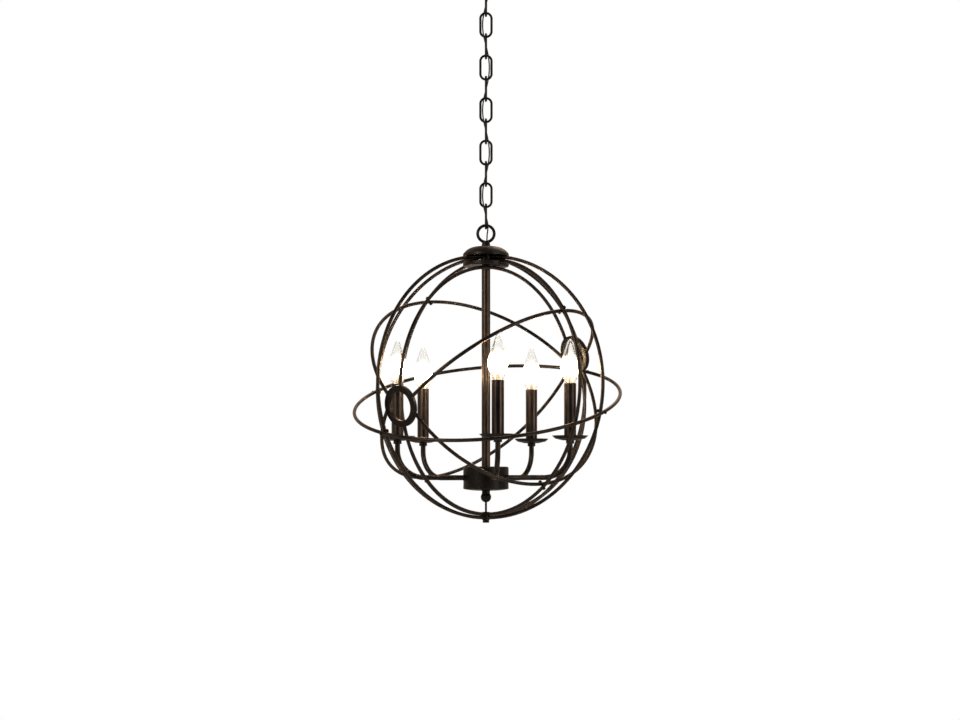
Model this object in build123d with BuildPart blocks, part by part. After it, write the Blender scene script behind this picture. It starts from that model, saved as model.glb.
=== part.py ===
from build123d import *
import math
import os

os.makedirs("parts", exist_ok=True)

# Orb chandelier, in millimetres. The origin is on the ceiling, on the axis of the lamp, and +Z is up,
# so everything hangs at negative Z. -Y is the front. An azimuth is measured from the front towards +X.

# --- ceiling fitting -------------------------------------------------------------------------------
CANOPY_RADIUS = 63.5
CANOPY_DEPTH = 25.0
CANOPY_WALL = 1.2
CANOPY_FLAT_RADIUS = 22.0
CANOPY_LIP = 4.0
CANOPY_BULGE = 4.6
CROSSBAR_LENGTH = 104.0
CROSSBAR_WIDTH = 18.0
CROSSBAR_THICKNESS = 2.0
BOX_SCREW_SPACING = 88.9
BOX_SCREW_HOLE_RADIUS = 2.4
BOX_SCREW_SLOT_LENGTH = 10.0

# --- threaded lamp pipe, and what screws on it ------------------------------------------------------
PIPE_RADIUS = 5.0
PIPE_BORE_RADIUS = 3.5
THREAD_CLEARANCE = 0.1
SEAT_GAP = 0.05

# --- screw loops at both ends of the chain ----------------------------------------------------------
LOOP_OUTER_RADIUS = 18.0
LOOP_WIRE_RADIUS = 2.75
LOOP_COLLAR_RADIUS = 11.0
LOOP_COLLAR_HEIGHT = 7.0
LOOP_NECK_RADIUS = 8.5
LOOP_NECK_HEIGHT = 7.0
LOOP_BORE_RADIUS = 2.5

# --- chain ------------------------------------------------------------------------------------------
LINK_COUNT = 11
LINK_LENGTH = 48.4
LINK_WIDTH = 25.0
LINK_WIRE_RADIUS = 2.2
LINK_PLAY = 0.3

# --- supply cord ------------------------------------------------------------------------------------
CORD_RADIUS = 1.3
CORD_SWING = 6.2

# --- orb: three levels of rod inside one another, and one band outside them -------------------------
MERIDIAN_RADIUS = 241.0
ROD_RADIUS = 3.25
ROD_GAP = 0.2
COPE_DEPTH = 2.0
MERIDIAN_LEFT_AZIMUTH = -52.6
MERIDIAN_RIGHT_AZIMUTH = 59.5
MERIDIAN_INNER_AZIMUTH = 44.5
BAND_PLANE_AZIMUTH = -13.8
BAND_PLANE_ELEVATION = 71.1
BAND_PLANE_DROP = -5.9

# --- side rings and the hoops that are welded between them ------------------------------------------
SIDE_RING_RADIUS = 37.0
SIDE_RING_HOLE_RADIUS = 26.0
SIDE_RING_THICKNESS = 8.0
FRONT_RING_AZIMUTH = -42.9
FRONT_RING_ELEVATION = -10.8
BACK_RING_AZIMUTH = 126.7
BACK_RING_ELEVATION = 18.2

# Each tilted hoop is two bent rods. A rod lies in a plane whose normal has this azimuth and elevation,
# and which passes the orb's centre by this angle, seen from where it cuts the sphere.
HOOP_ONE_UPPER = (32.7, 43.2, 1.8)
HOOP_ONE_LOWER = (37.6, 29.9, 8.1)
HOOP_TWO_UPPER = (-121.2, 51.9, -3.0)
HOOP_TWO_LOWER = (-128.6, 41.3, 1.7)

# The side hoop leaves the side rings at these places on their rims, as angles clockwise from the top,
# and its crown passes the stem on this side.
SIDE_HOOP_CROWN_AZIMUTH = 46.0
SIDE_HOOP_STEM_GAP = 7.2
SIDE_HOOP_SINK = 2.0
FRONT_RING_TOP_CLOCK = 8
FRONT_RING_FOOT_CLOCK = 176
BACK_RING_TOP_CLOCK = 28
BACK_RING_FOOT_CLOCK = 186
FRONT_LEG_MIDDLE = (-43.5, -52.0)
BACK_LEG_MIDDLE = (120.0, -40.0)
FRONT_LEG_FOOT_AZIMUTH = -42.0
BACK_LEG_FOOT_AZIMUTH = 117.0

# --- top cap ----------------------------------------------------------------------------------------
CAP_RADIUS = 42.5
CAP_DOME_HEIGHT = 17.0
CAP_DOME_WALL = 1.5
CAP_DOME_ROOM = 12.0
CAP_DOME_LIP = 4.0
CAP_DOME_BULGE = 4.5
CAP_FLAT_RADIUS = 14.0
CAP_DISC_THICKNESS = 8.0
UPPER_BOSS_RADIUS = 10.0
BOSS_MARGIN = 1.0

# --- stem, hub and finial ---------------------------------------------------------------------------
STEM_RADIUS = 8.0
STEM_BORE_RADIUS = 6.9
HUB_RADIUS = 42.0
HUB_HEIGHT = 39.0
HUB_WALL = 1.5
HUB_GROOVE_WIDTH = 1.2
HUB_GROOVE_DEPTH = 0.7
HUB_GROOVE_HEIGHTS = (5.0, 9.0)
HUB_COVER_THICKNESS = 2.5
HUB_COVER_DOME = 3.0
HUB_COVER_CHAMFER = 1.2
HUB_COVER_FLAT_RADIUS = 9.0
HUB_COVER_BULGE = 0.8
FINIAL_BALL_RADIUS = 9.7
FINIAL_NECK_RADIUS = 7.5
FINIAL_NECK_HEIGHT = 4.0
FINIAL_NECK_SINK = 2.0
TIE_ROD_RADIUS = 2.0
TIE_ROD_ENGAGEMENT = 7.0
TIE_ROD_SHOWING = 17.5
LOWER_BOSS_RADIUS = 7.0
CAP_NUT_RADIUS = 6.0
CAP_NUT_HEIGHT = 5.0

# --- arms and candles: the arms are set by hand, at slightly uneven angles ----------------------------
ARM_AZIMUTHS = (7.0, 66.0, 148.0, 226.0, 284.0)
ARM_RADIUS = 4.75
ARM_BORE_RADIUS = 3.6
ARM_DROP_BELOW_HUB_TOP = 20.3
ARM_RISE = 68.5
ARM_BEND_RADIUS = 50.0
ARM_INSIDE_HUB = 5.0
ARM_CLEARANCE = 0.1
PAN_ROOM = 5.5
SLEEVE_RADIUS = 11.0
SLEEVE_BORE_RADIUS = 9.8
SLEEVE_LENGTH = 102.0
PAN_RADIUS = 33.0
PAN_DEPTH = 8.5
PAN_SHEET = 1.2
PAN_FLOOR_RADIUS = 14.0
PAN_COLLAR_RADIUS = 7.5
PAN_COLLAR_HEIGHT = 6.0
SOCKET_RADIUS = 8.2
SOCKET_BORE_RADIUS = 6.3
SOCKET_HEIGHT = 34.0
SOCKET_BELOW_SLEEVE_TOP = 4.0
SOCKET_LEG_WIDTH = 5.0
SOCKET_LEG_THICKNESS = 1.6
SOCKET_FOOT_HEIGHT = 9.0
SOCKET_FOOT_RADIUS = 7.0
BULB_BASE_RADIUS = 5.9
BULB_BASE_LENGTH = 24.0
BULB_NECK_RADIUS = 7.0
BULB_RADIUS = 17.5
BULB_BELLY_HEIGHT = 31.0
BULB_HEIGHT = 80.0
BULB_TIP_RADIUS = 1.4

# --- small screws where rods cross ------------------------------------------------------------------
SCREW_RADIUS = 1.5
SCREW_HEAD_RADIUS = 3.2
SCREW_HEAD_HEIGHT = 2.2
SCREW_HEAD_ROUND = 1.2
SCREW_SLOT_WIDTH = 0.8
SCREW_SLOT_DEPTH = 0.9
SCREW_NUT_RADIUS = 3.4
SCREW_NUT_HEIGHT = 2.6
SCREW_TAIL = 1.2

# --- heights that follow from the sizes above -------------------------------------------------------
LOOP_RING_RADIUS = LOOP_OUTER_RADIUS - LOOP_WIRE_RADIUS
CANOPY_LOOP_COLLAR_Z = -CANOPY_DEPTH - SEAT_GAP
CANOPY_LOOP_RING_TOP_Z = CANOPY_LOOP_COLLAR_Z - LOOP_COLLAR_HEIGHT - 2.0
CANOPY_LOOP_Z = CANOPY_LOOP_RING_TOP_Z - LOOP_OUTER_RADIUS
LINK_CROWN_RADIUS = LINK_WIDTH / 2 - LINK_WIRE_RADIUS
LINK_CROWN_SPACING = LINK_LENGTH - 2 * LINK_WIRE_RADIUS
LOOP_TO_LINK = LOOP_WIRE_RADIUS + LINK_WIRE_RADIUS + LINK_PLAY
LINK_TO_LINK = 2 * LINK_WIRE_RADIUS + LINK_PLAY
FIRST_CROWN_Z = CANOPY_LOOP_Z - LOOP_RING_RADIUS + LOOP_TO_LINK
LINK_PITCH = LINK_CROWN_SPACING - LINK_TO_LINK
LAST_CROWN_Z = FIRST_CROWN_Z - (LINK_COUNT - 1) * LINK_PITCH - LINK_CROWN_SPACING
FIXTURE_LOOP_Z = LAST_CROWN_Z + LOOP_TO_LINK - LOOP_RING_RADIUS

LEVEL_STEP = 2 * ROD_RADIUS + ROD_GAP
INNER_MERIDIAN_RADIUS = MERIDIAN_RADIUS - LEVEL_STEP
HOOP_RADIUS = INNER_MERIDIAN_RADIUS - LEVEL_STEP
BAND_RADIUS = MERIDIAN_RADIUS + LEVEL_STEP

# The fixture loop's neck stands on the dome, so the centre of the orb follows from the loop's height.
FIXTURE_NECK_FOOT_Z = FIXTURE_LOOP_Z - LOOP_OUTER_RADIUS - LOOP_NECK_HEIGHT
DOME_TOP_ABOVE_CENTRE = MERIDIAN_RADIUS + ROD_RADIUS + BOSS_MARGIN + CAP_DOME_WALL + CAP_DOME_ROOM
ORB_Z = FIXTURE_NECK_FOOT_Z - DOME_TOP_ABOVE_CENTRE
ORB = Vector(0, 0, ORB_Z)

DOME_TOP_Z = ORB_Z + DOME_TOP_ABOVE_CENTRE
DOME_RIM_Z = DOME_TOP_Z - CAP_DOME_HEIGHT
UPPER_BOSS_TOP_Z = ORB_Z + MERIDIAN_RADIUS + ROD_RADIUS + BOSS_MARGIN
DISC_TOP_Z = ORB_Z + INNER_MERIDIAN_RADIUS - ROD_RADIUS - SEAT_GAP
DISC_BOTTOM_Z = DISC_TOP_Z - CAP_DISC_THICKNESS
LOWER_BOSS_TOP_Z = ORB_Z - INNER_MERIDIAN_RADIUS + ROD_RADIUS + BOSS_MARGIN
LOWER_BOSS_BOTTOM_Z = ORB_Z - MERIDIAN_RADIUS - ROD_RADIUS - BOSS_MARGIN
FINIAL_BALL_Z = LOWER_BOSS_TOP_Z + TIE_ROD_SHOWING + FINIAL_BALL_RADIUS
COVER_BOTTOM_Z = FINIAL_BALL_Z + FINIAL_BALL_RADIUS - FINIAL_NECK_SINK + FINIAL_NECK_HEIGHT
HUB_BOTTOM_Z = COVER_BOTTOM_Z + HUB_COVER_DOME + HUB_COVER_THICKNESS
HUB_TOP_Z = HUB_BOTTOM_Z + HUB_HEIGHT
ARM_Z = HUB_TOP_Z - ARM_DROP_BELOW_HUB_TOP
PAN_FLOOR_Z = ARM_Z + ARM_RISE
PAN_RIM_Z = PAN_FLOOR_Z - PAN_SHEET + PAN_DEPTH
SLEEVE_BOTTOM_Z = PAN_FLOOR_Z + SEAT_GAP
SLEEVE_TOP_Z = SLEEVE_BOTTOM_Z + SLEEVE_LENGTH
# The candles stand as far out as their pans have room inside the hoops.
PAN_REACH = math.sqrt((HOOP_RADIUS - ROD_RADIUS) ** 2 - (PAN_RIM_Z - ORB_Z) ** 2)
CANDLE_CIRCLE_RADIUS = PAN_REACH - PAN_RADIUS - PAN_ROOM
PIPE_HOLE_RADIUS = PIPE_RADIUS + THREAD_CLEARANCE
PIPE_TOP_Z = FIXTURE_NECK_FOOT_Z + LOOP_NECK_HEIGHT - 1.5
PIPE_BOTTOM_Z = COVER_BOTTOM_Z - FINIAL_NECK_HEIGHT


def direction(azimuth, elevation):
    """Unit vector at an azimuth from the front and an elevation from the horizontal."""
    level = math.cos(math.radians(elevation))
    across = math.sin(math.radians(azimuth)) * level
    away = -math.cos(math.radians(azimuth)) * level
    return Vector(across, away, math.sin(math.radians(elevation)))


def orb_point(radius, azimuth, elevation):
    """Point on a sphere round the centre of the orb."""
    return ORB + direction(azimuth, elevation) * radius


def bent_rod(start, middle, end):
    """Round rod bent to the arc through three points."""
    with BuildPart() as rod:
        with BuildLine() as arc:
            ThreePointArc(start, middle, end)
        with BuildSketch(Plane(origin=arc.line @ 0, z_dir=arc.line % 0)):
            Circle(ROD_RADIUS)
        sweep(path=arc.line)
    return rod.part


def bulge_point(start, end, bulge):
    """Point this far to the left of a chord's middle, seen from its start."""
    length = math.hypot(end[0] - start[0], end[1] - start[1])
    left = (-(end[1] - start[1]) / length, (end[0] - start[0]) / length)
    return ((start[0] + end[0]) / 2 + left[0] * bulge, (start[1] + end[1]) / 2 + left[1] * bulge)


def bulged_arc(start, end, bulge):
    """Arc between two points of a profile, this deep to the left of its chord."""
    return ThreePointArc(start, bulge_point(start, end, bulge), end)


def turned(outline, x=0.0, y=0.0):
    """Solid turned about a vertical axis, from (radius, height) corners."""
    with BuildPart() as body:
        with BuildSketch(Plane(origin=(x, y, 0), x_dir=(1, 0, 0), z_dir=(0, -1, 0))):
            with BuildLine():
                Polyline(*outline, close=True)
            make_face()
        revolve(axis=Axis((x, y, 0), (0, 0, 1)))
    return body.part


def save(piece, name):
    """Label one finished piece and write it under its own name."""
    piece.label = name
    export_step(piece, f"parts/{name}.step")


# --- ceiling canopy: a spun steel bowl that hides the electrical box ---------------------------------
canopy_inner = CANOPY_RADIUS - CANOPY_WALL
canopy_flat = (CANOPY_FLAT_RADIUS, -CANOPY_DEPTH)
canopy_flat_inner = (CANOPY_FLAT_RADIUS, CANOPY_WALL - CANOPY_DEPTH)
with BuildPart() as ceiling_canopy:
    with BuildSketch(Plane.XZ):
        with BuildLine():
            Line((PIPE_HOLE_RADIUS, -CANOPY_DEPTH), canopy_flat)
            bulged_arc(canopy_flat, (CANOPY_RADIUS, -CANOPY_LIP), -CANOPY_BULGE)
            Polyline(
                (CANOPY_RADIUS, -CANOPY_LIP), (CANOPY_RADIUS, 0), (canopy_inner, 0), (canopy_inner, -CANOPY_LIP)
            )
            bulged_arc((canopy_inner, -CANOPY_LIP), canopy_flat_inner, CANOPY_BULGE)
            Polyline(
                canopy_flat_inner,
                (PIPE_HOLE_RADIUS, CANOPY_WALL - CANOPY_DEPTH),
                (PIPE_HOLE_RADIUS, -CANOPY_DEPTH),
            )
        make_face()
    revolve(axis=Axis.Z)
ceiling_canopy.part.label = "ceiling_canopy"
export_step(ceiling_canopy.part, "parts/ceiling_canopy.step")

# --- crossbar: a flat steel strap, screwed to the electrical box through two slots -------------------
with BuildPart() as crossbar:
    with BuildSketch(Plane.XY.offset(-CROSSBAR_THICKNESS)):
        Rectangle(CROSSBAR_LENGTH, CROSSBAR_WIDTH)
        Circle(PIPE_HOLE_RADIUS, mode=Mode.SUBTRACT)
        with GridLocations(BOX_SCREW_SPACING, 0, 2, 1):
            SlotOverall(BOX_SCREW_SLOT_LENGTH, 2 * BOX_SCREW_HOLE_RADIUS, mode=Mode.SUBTRACT)
    extrude(amount=CROSSBAR_THICKNESS)
    fillet(crossbar.edges().filter_by(Axis.Z).group_by(Axis.X)[0], radius=3.0)
    fillet(crossbar.edges().filter_by(Axis.Z).group_by(Axis.X)[-1], radius=3.0)
crossbar.part.label = "crossbar"
export_step(crossbar.part, "parts/crossbar.step")

# --- canopy nipple: the short threaded tube that joins the crossbar, the canopy and the loop ---------
NIPPLE_BOTTOM_Z = CANOPY_LOOP_COLLAR_Z - LOOP_COLLAR_HEIGHT + 2.0
with BuildPart() as canopy_nipple:
    with BuildSketch(Plane.XY.offset(NIPPLE_BOTTOM_Z)):
        Circle(PIPE_RADIUS)
        Circle(PIPE_BORE_RADIUS, mode=Mode.SUBTRACT)
    extrude(amount=-NIPPLE_BOTTOM_Z)
canopy_nipple.part.label = "canopy_nipple"
export_step(canopy_nipple.part, "parts/canopy_nipple.step")

# --- canopy loop: a ring cast on a collar, which holds the canopy up and carries the chain -----------
with BuildPart() as canopy_loop:
    with BuildSketch(Plane.XY.offset(CANOPY_LOOP_Z)):
        with Locations((LOOP_RING_RADIUS, 0)):
            Circle(LOOP_WIRE_RADIUS)
    revolve(axis=Axis((0, 0, CANOPY_LOOP_Z), (0, 1, 0)))
    with BuildSketch(Plane.XY.offset(CANOPY_LOOP_COLLAR_Z)):
        Circle(LOOP_COLLAR_RADIUS)
    extrude(amount=-LOOP_COLLAR_HEIGHT)
    fillet(canopy_loop.edges().group_by(Axis.Z)[-1], radius=1.5)
    with BuildSketch(Plane.XY.offset(CANOPY_LOOP_COLLAR_Z - LOOP_COLLAR_HEIGHT)):
        Circle(LOOP_NECK_RADIUS)
    extrude(amount=CANOPY_LOOP_Z + LOOP_RING_RADIUS - CANOPY_LOOP_COLLAR_Z + LOOP_COLLAR_HEIGHT - 1.0, taper=12)
    with BuildSketch(Plane.XY.offset(CANOPY_LOOP_COLLAR_Z)):
        Circle(PIPE_HOLE_RADIUS)
    extrude(amount=NIPPLE_BOTTOM_Z - CANOPY_LOOP_COLLAR_Z - SEAT_GAP, mode=Mode.SUBTRACT)
    with BuildSketch(Plane.XY.offset(CANOPY_LOOP_COLLAR_Z)):
        Circle(LOOP_BORE_RADIUS)
    extrude(amount=-LOOP_COLLAR_HEIGHT - 12.0, mode=Mode.SUBTRACT)
canopy_loop.part.label = "canopy_loop"
export_step(canopy_loop.part, "parts/canopy_loop.step")

# --- chain: oval links of round wire, each turned a quarter from the last ----------------------------
for number in range(1, LINK_COUNT + 1):
    link_plane = Plane.YZ if number % 2 == 1 else Plane.XZ
    upper_crown_z = FIRST_CROWN_Z - (number - 1) * LINK_PITCH
    upper_centre_z = upper_crown_z - LINK_CROWN_RADIUS
    lower_centre_z = upper_crown_z - LINK_CROWN_SPACING + LINK_CROWN_RADIUS
    with BuildPart() as link:
        with BuildLine(link_plane) as centre_line:
            Line((-LINK_CROWN_RADIUS, lower_centre_z), (-LINK_CROWN_RADIUS, upper_centre_z))
            ThreePointArc(
                (-LINK_CROWN_RADIUS, upper_centre_z),
                (0, upper_crown_z),
                (LINK_CROWN_RADIUS, upper_centre_z),
            )
            Line((LINK_CROWN_RADIUS, upper_centre_z), (LINK_CROWN_RADIUS, lower_centre_z))
            ThreePointArc(
                (LINK_CROWN_RADIUS, lower_centre_z),
                (0, upper_crown_z - LINK_CROWN_SPACING),
                (-LINK_CROWN_RADIUS, lower_centre_z),
            )
        with BuildSketch(Plane(origin=centre_line.line @ 0, z_dir=centre_line.line % 0)):
            Circle(LINK_WIRE_RADIUS)
        sweep(path=centre_line.line)
    link.part.label = f"chain_link_{number:02d}"
    export_step(link.part, f"parts/chain_link_{number:02d}.step")

# --- fixture loop: the ring that the orb hangs by, with a turned neck that screws on the lamp pipe ---
with BuildPart() as fixture_loop:
    with BuildSketch(Plane.XY.offset(FIXTURE_LOOP_Z)):
        with Locations((LOOP_RING_RADIUS, 0)):
            Circle(LOOP_WIRE_RADIUS)
    revolve(axis=Axis((0, 0, FIXTURE_LOOP_Z), (0, 1, 0)))
    with BuildSketch(Plane.XY.offset(FIXTURE_NECK_FOOT_Z)):
        Circle(LOOP_NECK_RADIUS)
    extrude(amount=LOOP_NECK_HEIGHT + 2 * LOOP_WIRE_RADIUS - 1.0, taper=9)
    with BuildSketch(Plane.XY.offset(FIXTURE_NECK_FOOT_Z)):
        Circle(PIPE_HOLE_RADIUS)
    extrude(amount=PIPE_TOP_Z - FIXTURE_NECK_FOOT_Z + SEAT_GAP, mode=Mode.SUBTRACT)
    with BuildSketch(Plane.XY.offset(FIXTURE_NECK_FOOT_Z)):
        Circle(LOOP_BORE_RADIUS)
    extrude(amount=LOOP_NECK_HEIGHT + 8.0, mode=Mode.SUBTRACT)
fixture_loop.part.label = "fixture_loop"
export_step(fixture_loop.part, "parts/fixture_loop.step")

# --- top cap: a spun dome over the rods, a boss that their ends are welded to, and a disc below ------
dome_foot_z = UPPER_BOSS_TOP_Z + SEAT_GAP
dome_ceiling_z = DOME_TOP_Z - CAP_DOME_WALL
dome_inner = CAP_RADIUS - CAP_DOME_WALL
dome_flat = (CAP_FLAT_RADIUS, DOME_TOP_Z)
dome_flat_inner = (CAP_FLAT_RADIUS, dome_ceiling_z)
with BuildPart() as top_dome:
    with BuildSketch(Plane.XZ):
        with BuildLine():
            Polyline((PIPE_HOLE_RADIUS, dome_foot_z), (PIPE_HOLE_RADIUS, DOME_TOP_Z), dome_flat)
            bulged_arc(dome_flat, (CAP_RADIUS, DOME_RIM_Z + CAP_DOME_LIP), CAP_DOME_BULGE)
            Polyline(
                (CAP_RADIUS, DOME_RIM_Z + CAP_DOME_LIP),
                (CAP_RADIUS, DOME_RIM_Z),
                (dome_inner, DOME_RIM_Z),
                (dome_inner, DOME_RIM_Z + CAP_DOME_LIP),
            )
            bulged_arc((dome_inner, DOME_RIM_Z + CAP_DOME_LIP), dome_flat_inner, -CAP_DOME_BULGE)
            Polyline(
                dome_flat_inner,
                (UPPER_BOSS_RADIUS, dome_ceiling_z),
                (UPPER_BOSS_RADIUS, dome_foot_z),
                (PIPE_HOLE_RADIUS, dome_foot_z),
            )
        make_face()
    revolve(axis=Axis.Z)
top_dome.part.label = "top_dome"
export_step(top_dome.part, "parts/top_dome.step")

with BuildPart() as upper_rod_boss:
    with BuildSketch(Plane.XY.offset(DISC_TOP_Z)):
        Circle(UPPER_BOSS_RADIUS)
        Circle(PIPE_HOLE_RADIUS, mode=Mode.SUBTRACT)
    extrude(amount=UPPER_BOSS_TOP_Z - DISC_TOP_Z)
upper_rod_boss.part.label = "upper_rod_boss"
export_step(upper_rod_boss.part, "parts/upper_rod_boss.step")

with BuildPart() as lower_disc:
    with BuildSketch(Plane.XY.offset(DISC_BOTTOM_Z)):
        Circle(CAP_RADIUS)
        Circle(PIPE_HOLE_RADIUS, mode=Mode.SUBTRACT)
    extrude(amount=CAP_DISC_THICKNESS)
    fillet(lower_disc.edges().filter_by(GeomType.CIRCLE).sort_by(SortBy.RADIUS)[-2:], radius=2.0)
lower_disc.part.label = "lower_disc"
export_step(lower_disc.part, "parts/lower_disc.step")

# --- stem: the plain tube that shows, over the threaded lamp pipe that carries the load --------------
with BuildPart() as stem_tube:
    with BuildSketch(Plane.XY.offset(HUB_TOP_Z)):
        Circle(STEM_RADIUS)
        Circle(STEM_BORE_RADIUS, mode=Mode.SUBTRACT)
    extrude(amount=DISC_BOTTOM_Z - HUB_TOP_Z)
stem_tube.part.label = "stem_tube"
export_step(stem_tube.part, "parts/stem_tube.step")

with BuildPart() as lamp_pipe:
    with BuildSketch(Plane.XY.offset(PIPE_BOTTOM_Z)):
        Circle(PIPE_RADIUS)
        Circle(PIPE_BORE_RADIUS, mode=Mode.SUBTRACT)
    extrude(amount=PIPE_TOP_Z - PIPE_BOTTOM_Z)
lamp_pipe.part.label = "lamp_pipe"
export_step(lamp_pipe.part, "parts/lamp_pipe.step")

# --- hub: a drum that the arms screw into, closed below by a cover that the finial holds up ----------
with BuildPart() as hub_drum:
    with BuildSketch(Plane.XY.offset(HUB_BOTTOM_Z)):
        Circle(HUB_RADIUS)
    extrude(amount=HUB_HEIGHT)
    fillet(hub_drum.edges().group_by(Axis.Z)[-1], radius=3.0)
    with BuildSketch(Plane.XY.offset(HUB_BOTTOM_Z)):
        Circle(HUB_RADIUS - HUB_WALL)
    extrude(amount=HUB_HEIGHT - HUB_WALL, mode=Mode.SUBTRACT)
    with BuildSketch(Plane.XY.offset(HUB_BOTTOM_Z)):
        Circle(PIPE_HOLE_RADIUS)
    extrude(amount=HUB_HEIGHT, mode=Mode.SUBTRACT)
    for height in HUB_GROOVE_HEIGHTS:
        with BuildSketch(Plane.XY.offset(HUB_BOTTOM_Z + height)):
            Circle(HUB_RADIUS + 1.0)
            Circle(HUB_RADIUS - HUB_GROOVE_DEPTH, mode=Mode.SUBTRACT)
        extrude(amount=HUB_GROOVE_WIDTH, mode=Mode.SUBTRACT)
    for azimuth in ARM_AZIMUTHS:
        outward = direction(azimuth, 0)
        with BuildSketch(Plane(origin=(0, 0, ARM_Z), z_dir=outward)):
            Circle(ARM_RADIUS + ARM_CLEARANCE)
        extrude(amount=HUB_RADIUS + 1.0, mode=Mode.SUBTRACT)
hub_drum.part.label = "hub_drum"
export_step(hub_drum.part, "parts/hub_drum.step")

cover_edge_z = HUB_BOTTOM_Z - HUB_COVER_THICKNESS
cover_rim = (HUB_RADIUS - HUB_COVER_CHAMFER, cover_edge_z)
cover_flat = (HUB_COVER_FLAT_RADIUS, COVER_BOTTOM_Z)
with BuildPart() as hub_cover:
    with BuildSketch(Plane.XZ):
        with BuildLine():
            Polyline(
                cover_flat,
                (PIPE_HOLE_RADIUS, COVER_BOTTOM_Z),
                (PIPE_HOLE_RADIUS, HUB_BOTTOM_Z),
                (HUB_RADIUS, HUB_BOTTOM_Z),
                (HUB_RADIUS, cover_edge_z + HUB_COVER_CHAMFER),
                cover_rim,
            )
            bulged_arc(cover_rim, cover_flat, HUB_COVER_BULGE)
        make_face()
    revolve(axis=Axis.Z)
hub_cover.part.label = "hub_cover"
export_step(hub_cover.part, "parts/hub_cover.step")

# --- finial: a turned neck and ball, tapped above for the lamp pipe and below for the tie rod --------
finial_bottom_z = FINIAL_BALL_Z - FINIAL_BALL_RADIUS
with BuildPart() as finial_ball:
    with Locations((0, 0, FINIAL_BALL_Z)):
        Sphere(FINIAL_BALL_RADIUS)
    with BuildSketch(Plane.XY.offset(COVER_BOTTOM_Z)):
        Circle(FINIAL_NECK_RADIUS)
    extrude(amount=-FINIAL_NECK_HEIGHT - FINIAL_NECK_SINK)
    with BuildSketch(Plane.XY.offset(COVER_BOTTOM_Z)):
        Circle(PIPE_HOLE_RADIUS)
    extrude(amount=PIPE_BOTTOM_Z - COVER_BOTTOM_Z - SEAT_GAP, mode=Mode.SUBTRACT)
    with BuildSketch(Plane.XY.offset(finial_bottom_z - 1.0)):
        Circle(TIE_ROD_RADIUS + THREAD_CLEARANCE)
    extrude(amount=TIE_ROD_ENGAGEMENT + 1.0 + SEAT_GAP, mode=Mode.SUBTRACT)
finial_ball.part.label = "finial_ball"
export_step(finial_ball.part, "parts/finial_ball.step")

# --- tie rod, lower boss and cap nut: they hold the foot of the orb to the finial --------------------
with BuildPart() as tie_rod:
    with BuildSketch(Plane.XY.offset(finial_bottom_z + TIE_ROD_ENGAGEMENT)):
        Circle(TIE_ROD_RADIUS)
    extrude(amount=LOWER_BOSS_BOTTOM_Z - CAP_NUT_HEIGHT + 1.5 - finial_bottom_z - TIE_ROD_ENGAGEMENT)
tie_rod.part.label = "tie_rod"
export_step(tie_rod.part, "parts/tie_rod.step")

with BuildPart() as lower_rod_boss:
    with BuildSketch(Plane.XY.offset(LOWER_BOSS_BOTTOM_Z)):
        Circle(LOWER_BOSS_RADIUS)
        Circle(TIE_ROD_RADIUS + THREAD_CLEARANCE, mode=Mode.SUBTRACT)
    extrude(amount=LOWER_BOSS_TOP_Z - LOWER_BOSS_BOTTOM_Z)
    fillet(lower_rod_boss.edges().group_by(Axis.Z)[-1].sort_by(SortBy.RADIUS)[-1], radius=1.0)
lower_rod_boss.part.label = "lower_rod_boss"
export_step(lower_rod_boss.part, "parts/lower_rod_boss.step")

with BuildPart() as cap_nut:
    with BuildSketch(Plane.XY.offset(LOWER_BOSS_BOTTOM_Z)):
        RegularPolygon(CAP_NUT_RADIUS, 6)
    extrude(amount=-CAP_NUT_HEIGHT)
    fillet(cap_nut.edges().group_by(Axis.Z)[0], radius=1.0)
    with BuildSketch(Plane.XY.offset(LOWER_BOSS_BOTTOM_Z)):
        Circle(TIE_ROD_RADIUS + THREAD_CLEARANCE)
    extrude(amount=-CAP_NUT_HEIGHT + 1.5 - SEAT_GAP, mode=Mode.SUBTRACT)
cap_nut.part.label = "cap_nut"
export_step(cap_nut.part, "parts/cap_nut.step")


# --- rods of the orb ---------------------------------------------------------------------------------
def meridian_half(radius, azimuth):
    """Half of a vertical ring, whose ends are coped to the upper boss and the lower boss."""
    top_elevation = math.degrees(math.acos((UPPER_BOSS_RADIUS - COPE_DEPTH) / radius))
    foot_elevation = -math.degrees(math.acos((LOWER_BOSS_RADIUS - COPE_DEPTH) / radius))
    return bent_rod(
        orb_point(radius, azimuth, top_elevation),
        orb_point(radius, azimuth, 0),
        orb_point(radius, azimuth, foot_elevation),
    )


def hoop_frame(plane_values, sphere_radius):
    """Centre, radius and two axes of the circle in which a plane cuts a sphere."""
    azimuth, elevation, drop = plane_values
    normal = direction(azimuth, elevation)
    across = normal.cross(Vector(0, 0, 1)).normalized()
    centre = normal * (sphere_radius * math.sin(math.radians(drop)))
    return centre, sphere_radius * math.cos(math.radians(drop)), across, normal.cross(across)


def hoop_point(frame, angle):
    """Point on that circle."""
    centre, radius, across, up = frame
    return ORB + centre + across * (radius * math.cos(angle)) + up * (radius * math.sin(angle))


def hoop_angle(frame, ring_direction, side):
    """Angle on that circle where the rod has just passed the rim of a side ring."""
    centre, radius, across, up = frame
    rim = SIDE_RING_RADIUS - COPE_DEPTH
    level = math.sqrt(HOOP_RADIUS**2 - rim**2) - centre.dot(ring_direction)
    reach_across = across.dot(ring_direction) * radius
    reach_up = up.dot(ring_direction) * radius
    reach = math.hypot(reach_across, reach_up)
    return math.atan2(reach_up, reach_across) + side * math.acos(level / reach)


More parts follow.
